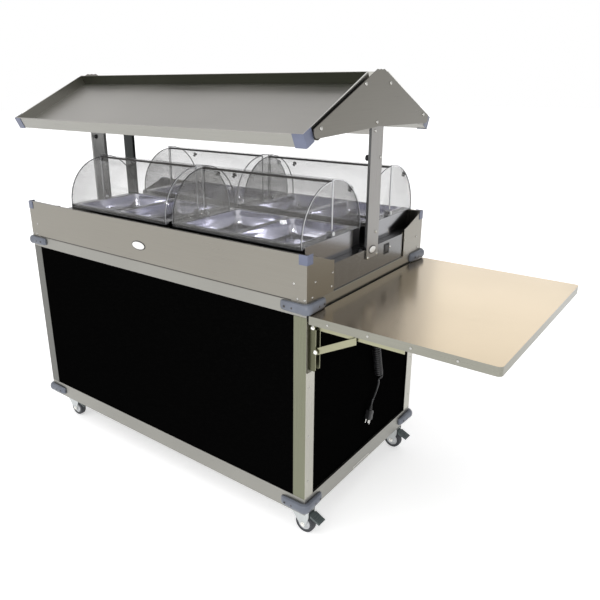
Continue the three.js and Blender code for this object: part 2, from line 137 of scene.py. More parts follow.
def scaled(colour, factor):
    return tuple(c * factor for c in colour)


def brushed(name, colour, rough, grain, contrast=0.09):
    """Brushed sheet: fine streaks along the grain, over slow cloudy tone."""
    shader = Shader(name, metal=1.0)
    fine, lengthways = 420, 5
    stretch = {axis: tuple(lengthways if a == axis else fine for a in "xyz") for axis in "xyz"}[grain]
    streak = shader.noise(1.0, stretch, 3)
    cloud = shader.noise(2.4, detail=3)
    tone = shader.blend(streak, cloud, 0.5)
    shader.colour(tone, scaled(colour, 1 - contrast), scaled(colour, 1 + contrast))
    shader.roughness(tone, rough - 0.05, rough + 0.08)
    shader.bump(streak, 0.12, 0.0002)
    return shader.material


def moulded(name, colour, rough, specular=0.4, grain=900):
    """Moulded plastic or rubber with a faint pebbled skin and rubbed lighter patches."""
    shader = Shader(name, specular=specular)
    pebble = shader.noise(grain, detail=1)
    rub = shader.noise(14, detail=3)
    shader.colour(rub, scaled(colour, 0.86), scaled(colour, 1.16))
    shader.roughness(rub, rough - 0.06, rough + 0.08)
    shader.bump(pebble, 0.15, 0.0002)
    return shader.material


def laminate(name):
    """Near-black decorative laminate with a sparse pale fleck."""
    shader = Shader(name, specular=0.0)
    fleck = shader.noise(330, detail=1)
    shader.colour(fleck, (0.0012, 0.0012, 0.0012), (0.0028, 0.0028, 0.0027), 0.55, 0.72)
    shader.roughness(shader.noise(40, detail=2), 0.6, 0.75)
    shader.bump(fleck, 0.1, 0.0001)
    return shader.material


def clear(name, colour, face_alpha, edge_alpha):
    """Clear sheet: nearly invisible face on, denser at a glancing angle, with a faint wipe haze."""
    shader = Shader(name, specular=0.8)
    haze = shader.noise(9, (1, 1, 3), 3)
    shader.colour(haze, scaled(colour, 0.95), colour)
    shader.roughness(haze, 0.03, 0.09)
    weight = shader.tree.nodes.new("ShaderNodeLayerWeight")
    weight.inputs["Blend"].default_value = 0.35
    alpha = shader.span(weight.outputs["Facing"], face_alpha, edge_alpha, 0.1, 0.95)
    shader.tree.links.new(alpha, shader.bsdf.inputs["Alpha"])
    return shader.material


APRON = brushed("apron_steel", (0.272, 0.258, 0.226), 0.30, "x", 0.05)
RAIL = brushed("rail_steel", (0.150, 0.150, 0.139), 0.30, "x")
# A lighter copy of the rail steel, meant for the rails' end faces: painted light.
RAIL_END_PAINTED_LIGHT = brushed("rail_end_painted_light", (0.30, 0.295, 0.27), 0.30, "y")
LEG = brushed("leg_steel", (0.20, 0.205, 0.147), 0.28, "z")
# A lighter copy of the leg steel for the legs' end strips: painted light.
LEG_SIDE_PAINTED_LIGHT = brushed("leg_side_painted_light", (0.44, 0.43, 0.38), 0.28, "z")
TRAY_RIM = brushed("tray_rim_steel", (0.335, 0.33, 0.303), 0.30, "x")
# A lighter copy of the tray steel for the trays' upward faces, the ridge beam and the eave lip: painted
# sheen.
TRAY_PAINTED_SHEEN = brushed("tray_painted_sheen", (0.50, 0.485, 0.455), 0.34, "x", 0.05)
GABLE = brushed("gable_steel", (0.178, 0.170, 0.150), 0.30, "y")
POST = brushed("post_steel", (0.266, 0.258, 0.247), 0.27, "z")
POST_LEFT = brushed("left_post_steel", (0.26, 0.26, 0.254), 0.30, "z")
POST_DARK = brushed("service_post_steel", (0.051, 0.054, 0.053), 0.32, "z")
# A near-black copy of the steel for the ridge rims' inner faces: painted shade.
RIDGE_PAINTED_SHADE = brushed("ridge_face_painted_shade", (0.050, 0.053, 0.040), 0.34, "x")
DECK = brushed("deck_steel", (0.20, 0.20, 0.20), 0.22, "x")
# A warm, lighter copy of the shelf steel for its top: painted reflection of warm surroundings.
SHELF_PAINTED_REFLECTION = brushed("shelf_top_painted_reflection", (0.58, 0.49, 0.365), 0.20, "x", 0.04)
SHELF_RIM = brushed("shelf_rim_steel", (0.274, 0.27, 0.231), 0.30, "x")
BRIGHT = brushed("pan_steel", (0.60, 0.60, 0.67), 0.09, "y", 0.05)
WELL = brushed("well_steel", (0.26, 0.26, 0.27), 0.14, "x")
ZINC = brushed("zinc", (0.34, 0.335, 0.228), 0.32, "x", 0.12)
# Darker copies of the zinc for the shelf brackets' ear faces and backplates: painted shade.
ZINC_PAINTED_SHADE = brushed("zinc_painted_shade", (0.13, 0.13, 0.085), 0.40, "z", 0.12)
BACKPLATE_PAINTED_SHADE = brushed("bracket_backplate_painted_shade", (0.12, 0.115, 0.09), 0.36, "z", 0.1)
# A darker copy of the post steel for the right post's side: painted shade.
POST_SIDE_PAINTED_SHADE = brushed("post_side_painted_shade", (0.12, 0.12, 0.12), 0.30, "z")
FORK = brushed("fork_zinc", (0.52, 0.54, 0.54), 0.30, "z", 0.12)
# Bright bolt steel; also laid as thin lips up the canopy rakes, a painted highlight.
BOLT_AND_HIGHLIGHT = brushed("bolt_steel_and_painted_highlight", (0.86, 0.85, 0.81), 0.16, "z", 0.08)
RIVET = brushed("rivet_steel", (0.46, 0.455, 0.43), 0.24, "z", 0.08)
BUMPER = moulded("bumper_plastic", (0.122, 0.134, 0.162), 0.36)
CAP = moulded("cap_plastic", (0.118, 0.132, 0.19), 0.38)
PEDAL = moulded("pedal_plastic", (0.075, 0.092, 0.092), 0.40)
BLACK = moulded("black_plastic", (0.012, 0.012, 0.013), 0.38)
CORD = moulded("cord_rubber", (0.010, 0.010, 0.011), 0.28, 0.45)
TYRE = moulded("tyre_rubber", (0.035, 0.037, 0.042), 0.60)
HUB = moulded("hub_plastic", (0.55, 0.56, 0.57), 0.38)
BADGE = moulded("badge_enamel", (0.74, 0.74, 0.72), 0.25, grain=200)
LAMINATE = laminate("black_laminate")
CLEAR = clear("clear_sheet", (0.30, 0.295, 0.285), 0.11, 0.24)
# Bright and near-black copies of the clear sheet for the lids' cut edges: painted highlight and painted
# shade.
EDGE_PAINTED_HIGHLIGHT = clear("lid_edge_painted_highlight", (0.86, 0.87, 0.90), 0.60, 0.90)
EDGE_PAINTED_SHADE = clear("lid_edge_painted_shade", (0.05, 0.05, 0.055), 0.70, 0.90)
SEAM = moulded("dark_seam", (0.035, 0.032, 0.03), 0.35)


# ---------- shapes ----------
class Shape:
    """Faces gathered in millimetres before they become one mesh. paint picks the material slot."""

    def __init__(self):
        self.verts, self.faces, self.slots, self.paint = [], [], [], 0

    def add(self, verts, faces):
        first = len(self.verts)
        self.verts += [Vector(v) for v in verts]
        self.faces += [[first + i for i in f] for f in faces]
        self.slots += [self.paint] * len(faces)
        return self

    def box(self, x, y, z):
        verts = [(a, b, c) for a in x for b in y for c in z]
        return self.add(verts, [(0, 1, 3, 2), (4, 6, 7, 5), (0, 4, 5, 1), (2, 3, 7, 6), (0, 2, 6, 4),
                                (1, 5, 7, 3)])

    def loft(self, rings, loop=False):
        """Skin over rings of equal length. A loop joins last to first; otherwise both ends are capped."""
        n, count = len(rings[0]), len(rings)
        faces = [
            (i * n + j, i * n + (j + 1) % n, (i + 1) % count * n + (j + 1) % n, (i + 1) % count * n + j)
            for i in range(count if loop else count - 1) for j in range(n)
        ]
        if not loop:
            faces += [tuple(range(n)), tuple((count - 1) * n + j for j in range(n))]
        return self.add([p for ring in rings for p in ring], faces)

    def lathe(self, profile, origin, axis, sides=24, loop=False):
        """A profile of (radius, height) turned about an axis from origin."""
        w = Vector(axis).normalized()
        u = w.orthogonal().normalized()
        v = w.cross(u)
        turn = [2 * math.pi * j / sides for j in range(sides)]
        return self.loft([
            [Vector(origin) + w * h + (u * math.cos(a) + v * math.sin(a)) * max(r, 0.05) for a in turn]
            for r, h in profile
        ], loop)

    def rivet(self, origin, normal, radius=4.5, height=2.2):
        profile = [(1, 0), (1, 0.25), (0.85, 0.68), (0.5, 0.94), (0.03, 1)]
        return self.lathe([(radius * r, height * h) for r, h in profile], origin, normal, 14)

    def bolt(self, origin, normal, across=11, height=5):
        """A washer under a chamfered hexagon head."""
        self.lathe([(across * 0.72, 0), (across * 0.72, 1), (across * 0.62, 1.4)], origin, normal, 20)
        start = Vector(origin) + Vector(normal).normalized() * 1.2
        r = across / 2 * 1.15
        return self.lathe([(r, 0), (r, height * 0.75), (r * 0.8, height)], start, normal, 6)

    def moved(self, matrix):
        self.verts = [matrix @ v for v in self.verts]
        return self

    def make(self, name, mats, body, slot, edge=0.0, replaces=()):
        mesh = bpy.data.meshes.new(name)
        mesh.from_pydata([at(*v) for v in self.verts], [], self.faces)
        tool = bmesh.new()
        tool.from_mesh(mesh)
        bmesh.ops.recalc_face_normals(tool, faces=tool.faces)
        tool.to_mesh(mesh)
        tool.free()
        for material in mats:
            mesh.materials.append(material)
        for polygon, paint in zip(mesh.polygons, self.slots):
            polygon.material_index = paint
        piece = bpy.data.objects.new(name, mesh)
        scene.collection.objects.link(piece)
        soften(piece, edge)
        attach(piece, body)
        if replaces:
            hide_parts(*replaces)
        return piece


def soften(piece, edge):
    """Smooth shading; edge in millimetres rounds the sharp edges so that they catch the light."""
    piece.data.shade_smooth()
    if edge:
        bevel = piece.modifiers.new("edge", "BEVEL")
        bevel.width, bevel.segments = edge / 1000, 2
        bevel.limit_method, bevel.angle_limit = "ANGLE", math.radians(32)
        bevel.harden_normals = True
    else:
        piece.data.set_sharp_from_angle(angle=math.radians(35))


def dress(names, material, edge=0.5, others=()):
    """A CAD node keeps its mesh; flat neighbours are merged before its edges are rounded.
    others pairs a material with a test of a face's middle in cart millimetres and its normal."""
    for name in names:
        node = nodes[name]
        node.data.materials.clear()
        for each in (material, *(m for m, _ in others)):
            node.data.materials.append(each)
        for polygon in node.data.polygons:
            middle = (polygon.center - Vector((CART_MIDDLE, 0, 0))) * 1000
            hits = (i for i, (_, test) in enumerate(others, 1) if test(middle, polygon.normal))
            polygon.material_index = next(hits, 0)
        if "custom_normal" in node.data.attributes:
            node.data.attributes.remove(node.data.attributes["custom_normal"])
        weld = node.modifiers.new("weld", "WELD")
        weld.merge_threshold = 0.00002
        flat = node.modifiers.new("flat", "DECIMATE")
        flat.decimate_type, flat.angle_limit, flat.delimit = "DISSOLVE", math.radians(0.6), {"MATERIAL"}
        soften(node, edge)


def rounded_rect(half_x, half_y, radius, z, cx=0.0, cy=0.0, steps=5):
    """A ring of points round a rounded rectangle at height z."""
    points = []
    for corner in range(4):
        sx, sy = ((1, 1), (-1, 1), (-1, -1), (1, -1))[corner]
        for i in range(steps + 1):
            a = math.radians(90 * corner + 90 * i / steps)
            points.append((cx + sx * (half_x - radius) + radius * math.cos(a),
                           cy + sy * (half_y - radius) + radius * math.sin(a), z))
    return points


# ---------- mains lead: a curly cord, then its straight tail ----------
LEAD_ROUTE = [(LEAD_X, y, z) for y, z in (
    (40, 736.7), (41, 690), (46, 640), (55, 590), (67, 540), (79, 495), (86, 462), (86, 440), (77, 418),
    (61, 399), (44, 380), (33, 358))]


def smooth_line(points, steps):
    """Catmull-Rom points through the route."""
    p = [Vector(q) for q in points]
    p = [2 * p[0] - p[1], *p, 2 * p[-1] - p[-2]]
    line = []
    for a, b, c, d in zip(p, p[1:], p[2:], p[3:]):
        for i in range(steps):
            t = i / steps
            line.append(0.5 * (2 * b + (c - a) * t + (2 * a - 5 * b + 4 * c - d) * t * t
                               + (3 * b - a - 3 * c + d) * t ** 3))
    return line + [p[-2]]


def lead_line():
    """One line out of the boot, wound 26 mm across, and on into the tail. The winding tightens only
    once the cord stands out at its full radius, so the ends of the coil have no sharp bend."""
    axis = smooth_line(LEAD_ROUTE, 60)
    run = [0.0]
    for a, b in zip(axis, axis[1:]):
        run.append(run[-1] + (b - a).length)
    full_radius, pitch, step = 13.0, 9.8, 0.45
    start, end, ease = 2.0, 304.0, 40.0
    line, angle, k, s = [], 0.0, 0, 0.0
    while s < run[-1]:
        while k < len(run) - 2 and run[k + 1] < s:
            k += 1
        centre = axis[k].lerp(axis[k + 1], (s - run[k]) / (run[k + 1] - run[k]))
        tangent = (axis[k + 1] - axis[k]).normalized()
        share = min(1.0, max(0.0, min(s - start, end - s)) / ease)
        radius = full_radius * share * share * (3 - 2 * share)
        side = Vector((1, 0, 0))
        line.append(centre + radius * (side * math.cos(angle) + tangent.cross(side) * math.sin(angle)))
        angle += step / math.sqrt(2.5 * (radius + 2) * (full_radius - radius) + (pitch / 2 / math.pi) ** 2)
        s += step
    return line + [axis[-1]]


def make_lead():
    points = [at(*p) for p in lead_line()]
    curve = bpy.data.curves.new("curly_lead", "CURVE")
    curve.dimensions = "3D"
    spline = curve.splines.new("POLY")
    spline.points.add(len(points) - 1)
    for target, p in zip(spline.points, points):
        target.co = (*p, 1)
    curve.bevel_depth, curve.bevel_resolution, curve.use_fill_caps = 0.004, 2, True
    curve.materials.append(CORD)
    lead = bpy.data.objects.new("curly_lead", curve)
    scene.collection.objects.link(lead)
    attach(lead, "cart")
    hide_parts("cord_coil", "cord_tail")
    length = sum((b - a).length for a, b in zip(points, points[1:]))
    return lead, points[0], length


def make_plug():
    """A moulded plug: ribbed neck, waisted body, two flat pins and a round earth pin."""
    hang = Matrix.Translation(LEAD_ROUTE[-1]) @ Matrix.Rotation(math.radians(-22), 4, "X")
    body = Shape()
    ribs = [(6, -0.3), (6, -2), (4.9, -2.6), (4.9, -3.4), (6.4, -4), (6.4, -6), (5.2, -6.6), (5.2, -7.4),
            (7, -8), (7, -10), (5.8, -10.6), (5.8, -11.4), (7.6, -12), (8, -16)]
    body.lathe(ribs, (0, 0, 0), (0, 0, 1), 20)
    outline = [(9, 10, -15), (11.5, 13.5, -18), (12.6, 14.6, -24), (11.8, 13.6, -33), (12.6, 14.6, -42),
               (12.9, 14.8, -49), (12.2, 14.2, -52)]
    body.loft([rounded_rect(hx, hy, 6, z) for hx, hy, z in outline])
    plug = body.moved(hang).make("plug_body", [BLACK], "cart", "black_plastic", replaces=["cord_plug"])
    pins = Shape()
    for side in (-1, 1):
        x = side * 8.2
        pins.loft([[(x - t, -w, z), (x + t, -w, z), (x + t, w, z), (x - t, w, z)]
                   for t, w, z in ((0.75, 3.1, -50), (0.75, 3.1, -68.5), (0.45, 2.4, -70))])
    pins.lathe([(2.3, -50), (2.3, -67), (1.5, -69.5), (0.2, -70)], (0, 8, 0), (0, 0, 1), 12)
    return plug, pins.moved(hang).make("plug_pins", [BOLT_AND_HIGHLIGHT], "cart", "bright_steel")


lead, lead_exit, lead_length = make_lead()
plug_body, plug_pins = make_plug()


# ---------- CAD nodes that keep their shape ----------
WELLS = [("front_left", -187.5, -200), ("front_right", 420.5, -200), ("rear_left", -187.5, 200),
         ("rear_right", 420.5, 200)]
CORNERS = [(row, end, sx, sy) for end, sx in (("left", -1), ("right", 1))
           for row, sy in (("front", -1), ("rear", 1))]

dress(["front_panel", "left_end_panel", "right_end_panel"], LAMINATE, 0.4)
dress(["front_apron", "rear_apron"], APRON, 0.7)
dress(["counter_deck"], DECK, 0.6)
dress(["rear_door_left", "rear_door_right"], APRON, 0.6)
# The trays' upward faces take the lighter copy of their steel: painted sheen.
dress(["roof_tray_front", "roof_tray_rear"], TRAY_RIM, 0.7, [(TRAY_PAINTED_SHEEN, lambda p, n: n.z > 0.85)])
dress(["gable_left", "gable_right"], GABLE, 0.7)
# The right post's faces turned to -Y take the darker copy: painted shade.
dress(["right_post"], POST, 0.7, [(POST_SIDE_PAINTED_SHADE, lambda p, n: n.y < -0.9)])
dress(["left_post"], POST_LEFT, 0.7)
dress(["left_service_post"], POST_DARK, 0.7)
# The ridge beam is wholly in the lighter copy of the tray steel, painted sheen.
dress(["ridge_beam"], TRAY_PAINTED_SHEEN, 0.6)
# The shelf's upward top faces take the warm, lighter copy, a painted reflection; its arms are zinc.
dress(["side_shelf"], SHELF_RIM, 0.6, [
    (SHELF_PAINTED_REFLECTION, lambda p, n: n.z > 0.9 and p.z > SHELF_TOP_Z),
    (ZINC, lambda p, n: abs(abs(p.y) - SHELF_ARM_Y) < 16 and p.x < 1075 and p.z < 870),
])
dress(["shelf_strut_front", "shelf_strut_rear"], ZINC, 0.5)
# Each bracket's faces nearer the cabinet than x 754 mm take the dark brownish copy and its ear faces turned
# to ±Y the dark olive copy: painted shade.
dress(["shelf_bracket_front", "shelf_bracket_rear"], ZINC, 0.5, [
    (BACKPLATE_PAINTED_SHADE, lambda p, n: p.x < 754),
    (ZINC_PAINTED_SHADE, lambda p, n: abs(n.y) > 0.9),
])
dress([f"{name}_well" for name, _, _ in WELLS], WELL, 0.6)
dress([f"{name}_lid_{side}" for name, _, _ in WELLS for side in ("front", "rear")], CLEAR, 0)
dress([f"caster_fork_{row}_{end}" for row, end, _, _ in CORNERS], FORK, 0.6)
dress([f"brake_pedal_{row}_{end}" for row, end, _, _ in CORNERS], PEDAL, 1.0)
dress(["power_switch"], BLACK, 0.8)
dress(["cord_outlet"], BLACK, 1.5)


# ---------- frame: folded rails, legs and plastic bumpers ----------
def rail_ring(shape, bottom, top):
    """Rails as one ring with a small lip turned in along each edge."""
    lip, depth = 6, 9
    section = [(0, bottom), (0, top), (depth, top), (depth, top - lip / 3), (SHEET, top - lip / 3),
               (SHEET, bottom + lip / 3), (depth, bottom + lip / 3), (depth, bottom)]
    rings = [[(sx * (HALF_X - inset), sy * (HALF_Y - inset), z) for inset, z in section]
             for sx, sy in ((1, -1), (1, 1), (-1, 1), (-1, -1))]
    first = len(shape.faces)
    shape.loft(rings, loop=True)
    for i in range(first, len(shape.faces)):
        face = [shape.verts[v] for v in shape.faces[i]]
        # Faces at the ends are meant to take the lighter copy, painted light; this test holds for every face
        # of the ring, so all the rails take it.
        shape.slots[i] = 1 if all(abs(abs(p.x) - HALF_X) < 12 for p in face) else 0


base = Shape()
rail_ring(base, 120, 185)
base.box((-747, 747), (-401, 401), (120.5, 122.5))
for _, _, sx, sy in CORNERS:
    base.box(sorted((sx * 620, sx * 746)), sorted((sy * 284, sy * 400)), (116, 120.4))
    base.lathe([(28, 108), (28, 111), (22, 113), (22, 116.2)],
               (sx * CASTER_X, sy * CASTER_Y, 0), (0, 0, 1), 32)
base.make("base_rails", [RAIL, RAIL_END_PAINTED_LIGHT], "cart", "steel", 0.9, ["base_frame"])

upper = Shape()
rail_ring(upper, 864, 910)
upper.make("upper_rails", [RAIL, RAIL_END_PAINTED_LIGHT], "cart", "steel", 0.9, ["upper_frame"])

legs = Shape()
for _, _, sx, sy in CORNERS:
    # Front and rear plates: the greenish leg steel at the right end and the darker rail steel at the left
    # end, painted light and shade on one steel.
    legs.paint = 0 if sx > 0 else 2
    legs.box(sorted((sx * 700, sx * 749.6)), sorted((sy * 401.6, sy * 404)), (185.4, 863.8))
    # End strips: the lighter copy of the leg steel, painted light.
    legs.paint = 1
    legs.box(sorted((sx * 747.4, sx * 750)), sorted((sy * 354, sy * 403.6)), (185.4, 863.8))
legs.make("corner_legs", [LEG, LEG_SIDE_PAINTED_LIGHT, RAIL], "cart", "steel", 0.6)


def bumper(name, sx, sy, middle_z):
    """A rounded plastic guard wrapped round a corner, thinned towards both tips."""
    section = [(-8.8, -15), (-3, -17), (3.5, -14.8), (7.6, -8.5), (9, 0), (7.6, 8.5), (3.5, 14.8),
               (-3, 17), (-8.8, 15)]
    bend = 24  # radius of the corner at the middle of the section
    path = [((652 + d, -413), (0, -1), s) for d, s in ((0, 0.35), (5, 0.62), (14, 0.84), (30, 0.94), (60, 1))]
    for i in range(9):
        a = math.radians(-90 + 90 * i / 8)
        path.append(((759 - bend + bend * math.cos(a), -413 + bend + bend * math.sin(a)),
                     (math.cos(a), math.sin(a)), 1 + 0.32 * math.sin(math.radians(180 * i / 8))))
    path += [((759, -306 - d), (1, 0), s) for d, s in ((60, 1), (30, 0.94), (14, 0.84), (5, 0.62), (0, 0.35))]
    rings = []
    for (x, y), (nx, ny), share in path:
        ring = []
        for out, height in section:
            reach = -8.8 + (out + 8.8) * share
            ring.append((sx * (x + nx * reach), -sy * (y + ny * reach),
                         middle_z + height * (0.7 + 0.3 * share)))
        rings.append(ring)
    shape = Shape()
    shape.loft(rings)
    shape.paint = 1
    for along in (22, 52):
        shape.rivet((sx * (652 + along), sy * (HALF_Y + 16.4), middle_z), (0, sy, 0), 4.2, 1.6)
        shape.rivet((sx * (HALF_X + 16.4), sy * (306 + along), middle_z), (sx, 0, 0), 4.2, 1.6)
    shape.make(name, [BUMPER, SEAM], "cart", "grey_plastic")


for row, end, sx, sy in CORNERS:
    bumper(f"bumper_low_{row}_{end}", sx, sy, 150)
    bumper(f"bumper_high_{row}_{end}", sx, sy, 892.6)


# ---------- corner guards of the apron and the canopy ----------
def corner_guard(shape, corner, ex, ey, ez, arm, height, thick=2.2):
    """An L of plastic round an outside corner; ex and ey point inwards along its two walls, ez along it."""
    corner, ex, ey, ez = (Vector(v) for v in (corner, ex, ey, ez))
    outer = [(arm, -thick), (2, -thick), (-thick * 0.4, -thick * 0.4), (-thick, 2), (-thick, arm)]
    inner = [(0.3, arm), (0.3, 0.3), (arm, 0.3)]
    rings = [[corner + ex * a + ey * b + ez * h for a, b in outer + inner] for h in (0, height)]
    shape.loft(rings)


guards = Shape()
for _, _, sx, sy in CORNERS:
    corner_guard(guards, (sx * HALF_X, sy * HALF_Y, 1034), (-sx, 0, 0), (0, -sy, 0), (0, 0, 1), 30, 33)
guards.make("apron_corner_caps", [CAP], "cart", "grey_plastic", 0.8)

SLOPE = math.atan2(RIDGE_Z - EAVE_Z, EAVE_Y - RIDGE_Y)
ROOF_RUN = math.hypot(RIDGE_Z - EAVE_Z, EAVE_Y - RIDGE_Y)


def on_roof(x, along, lift, sy):
    """A point on a tray: along its slope from the ridge rim, lift square to it from its top edge."""
    y = RIDGE_Y + along * math.cos(SLOPE) + lift * math.sin(SLOPE)
    return (x, sy * y, RIDGE_Z - along * math.sin(SLOPE) + lift * math.cos(SLOPE))


caps = Shape()
for _, _, sx, sy in CORNERS:
    outward = Vector((0, sy * math.cos(SLOPE), -math.sin(SLOPE)))
    corner_guard(caps, on_roof(sx * 742, ROOF_RUN, -45, sy), (-sx, 0, 0), -outward,
                 (0, sy * math.sin(SLOPE), math.cos(SLOPE)), 40, 46.5)
caps.make("canopy_corner_caps", [CAP], "cart", "grey_plastic", 0.8)

# A darker sheet of painted shade on the inner face along each ridge rim, a rolled lip on the eaves in the
# lighter tray steel, and bright lips up the rakes as painted highlights.
lips = Shape()
for sy in (-1, 1):
    # A thin sheet over the inner face of the ridge rim, in painted shade.
    lips.paint = 0
    face = [(2.2, -1), (2.2, -40.6), (2.9, -40.6), (2.9, -1)]
    lips.loft([[on_roof(x, a, h, sy) for a, h in face] for x in (-739.5, 739.5)])
    lips.paint = 1
    hem = [(ROOF_RUN - 8, -0.3), (ROOF_RUN - 2.2, -0.3), (ROOF_RUN - 2.2, -3), (ROOF_RUN - 8, -2)]
    lips.loft([[on_roof(x, a, h, sy) for a, h in hem] for x in (-739.5, 739.5)])
    lips.paint = 2
    # Thin lips up each rake in the bright bolt steel: painted highlight.
    for sx in (-1, 1):
        rake = [(739.6, -1.2), (742.4, -1.2), (742.4, 0.7), (739.6, 0.7)]
        lips.loft([[on_roof(sx * x, a, h, sy) for x, h in rake] for a in (1, ROOF_RUN - 1)])
lips.make("tray_lips_painted_shade_and_highlight", [RIDGE_PAINTED_SHADE, TRAY_PAINTED_SHEEN, BOLT_AND_HIGHLIGHT], "cart", "steel", 0.3)


# ---------- pans ----------
def make_pan(name, cx, cy):
    """A drawn pan: rolled rim with rounded corners, stacking step, tapering walls, soft floor corner."""
    outside = [(100, 130, 40, -61.8), (113, 143, 36, -60), (117, 147, 30, -53), (119.5, 149.5, 26, -20),
               (120, 150, 24, -8), (120, 150, 24, -1.4), (129, 159, 22, -1.2), (130.6, 160.6, 22, -1.3),
               (131, 161, 22, -0.6), (130.2, 160.2, 22, 0)]
    inside = [(124, 154, 20, 0.1), (121, 151, 20, -0.5), (119.2, 149.2, 22, -2.4), (118.6, 148.6, 23, -9),
              (118.2, 148.2, 25, -20), (115.4, 145.4, 29, -52), (112, 142, 34, -58.4), (99, 129, 38, -60.6),
              (20, 40, 12, -60.4)]
    rings = [rounded_rect(hx, hy, r, PAN_RIM_Z + z, cx, cy, 6) for hx, hy, r, z in outside + inside]
    Shape().loft(rings).make(f"{name}_steel", [BRIGHT], name, "bright_steel", 0, [name])


for name, cx, cy in WELLS:
    for side, offset in (("left", -132.5), ("right", 132.5)):
        make_pan(f"{name}_pan_{side}", cx + offset, cy)


# ---------- roll-top lids: cut edges in painted highlight and shade, seam bars, knobs, pivot buttons ---
def lid_edges(name, cx, cy, radius, half, sy, body, crown):
    """The cut edges of a lid's end plates, a painted highlight on the end and painted shade round the curve,
    and a crown bar.
    """
    def on_arc(degrees, r):
        a = math.radians(degrees)
        return cy + sy * r * math.cos(a), PIVOT_Z + r * math.sin(a)

    shape = Shape()
    arc = [-6.5, *range(0, 91, 6), 91.3]
    for side in (-1, 1):
        inner, outer = cx + side * (half - 3.1), cx + side * (half + 0.25)
        rings = []
        for a in arc:
            (y0, z0), (y1, z1) = on_arc(a, radius - 3.1), on_arc(a, radius + 0.3)
            rings.append([(inner, y0, z0), (outer, y0, z0), (outer, y1, z1), (inner, y1, z1)])
        # All faces of each arc edge in painted shade except the end face, which takes the painted highlight.
        shape.paint = 1
        first = len(shape.faces)
        shape.loft(rings)
        for i in range(len(arc) - 1):
            shape.slots[first + 4 * i + 1] = 0
        # Strip up the inner edge: painted shade on front lids, painted highlight on rear lids.
        shape.paint = 1 if crown else 0
        y0, y1 = sorted((cy - sy * 3.9, cy - sy * 1.4))
        shape.box(sorted((inner, outer)), (y0, y1), (PIVOT_Z + 14, PIVOT_Z + radius - 3.4))
    # Strip along the foot of the lid: painted shade.
    shape.paint = 1
    y0, y1 = sorted((cy + sy * (radius - 3.1), cy + sy * (radius + 0.3)))
    shape.box((cx - half + 0.3, cx + half - 0.3), (y0, y1), (PIVOT_Z - 21, PIVOT_Z - 19.6))
    if crown:
        shape.paint = 2
        rings = []
        for a in (87.4, 89.4, 91.3):
            (y0, z0), (y1, z1) = on_arc(a, radius - 4.6), on_arc(a, radius + 2)
            rings.append([(cx - half + 3.4, y0, z0), (cx + half - 3.4, y0, z0),
                          (cx + half - 3.4, y1, z1), (cx - half + 3.4, y1, z1)])
        shape.loft(rings)
    shape.make(name, [EDGE_PAINTED_HIGHLIGHT, EDGE_PAINTED_SHADE, SEAM], body, "clear_lid")


for name, cx, cy in WELLS:
    lid_edges(f"{name}_lid_front_edges", cx, cy, 171.5, 285, -1, f"{name}_lid_front", True)
    lid_edges(f"{name}_lid_rear_edges", cx, cy, 178, 289, 1, f"{name}_lid_rear", False)
    knobs = Shape()
    tilt = math.radians(43)
    for dx in (-252, 270):
        foot = (cx + dx, cy + 178 * math.cos(tilt), PIVOT_Z + 178 * math.sin(tilt))
        knobs.lathe([(6.5, 0), (6.5, 1.2), (3.4, 1.8), (3.2, 6), (6.5, 7.4), (8.6, 9.8), (8.8, 13), (7, 15.6),
                     (3, 16.8), (0, 17)], foot, (0, math.cos(tilt), math.sin(tilt)), 20)
    knobs.make(f"{name}_lid_knobs", [BLACK], f"{name}_lid_rear", "black_plastic")
    buttons = Shape()
    for side in (-1, 1):
        buttons.lathe([(7.4, 0), (7.4, 1.4), (6.2, 2.6), (0, 3)],
                      (cx + side * 291.9, cy, PIVOT_Z), (side, 0, 0), 20)
        buttons.lathe([(6, 0), (6, 3), (4.6, 4.6), (0, 5)],
                      (cx + side * 269.8, cy, PIVOT_Z), (-side, 0, 0), 18)
    buttons.make(f"{name}_pivot_buttons", [HUB], "cart", "grey_plastic")


# ---------- casters ----------
for row, end, sx, sy in CORNERS:
    key = f"{row}_{end}"
    axle = (sx * CASTER_X + CASTER_TRAIL, sy * CASTER_Y, AXLE_Z)
    wheel = Shape()
    wheel.lathe([(25, -12), (30, -13.2), (35, -13.4), (37.3, -11), (38, -6), (38, 6), (37.3, 11), (35, 13.4),
                 (30, 13.2), (25, 12)], axle, (0, 1, 0), 48, loop=True)
    wheel.paint = 1
    wheel.lathe([(5.6, -14.8), (9, -14.8), (10.5, -12), (12.5, -6.5), (20, -6), (23, -10.6), (26.5, -12.4),
                 (26.5, 12.4), (23, 10.6), (20, 6), (12.5, 6.5), (10.5, 12), (9, 14.8), (5.6, 14.8)],
                axle, (0, 1, 0), 40, loop=True)
    wheel.make(f"wheel_tyre_{key}", [TYRE, HUB], f"wheel_{key}", "tyre", 0, [f"caster_wheel_{key}"])
    fixings = Shape()
    for side in (-1, 1):
        fixings.bolt((axle[0], axle[1] + side * 21.1, axle[2]), (0, side, 0), 12, 3.2)
    fixings.make(f"axle_bolts_{key}", [BOLT_AND_HIGHLIGHT], f"caster_{key}", "zinc")
    ribs = Shape()
    for i in range(4):
        x = sx * CASTER_X + 70 + 8 * i
        z = 88 - (x - (sx * CASTER_X + 61)) * math.tan(math.atan2(19, 41)) + 1.2
        ribs.box((x, x + 2.4), (axle[1] - 15, axle[1] + 15), (z - 2, z + 0.6))
    ribs.make(f"pedal_ribs_{key}", [PEDAL], f"pedal_{key}", "grey_plastic", 0.4)


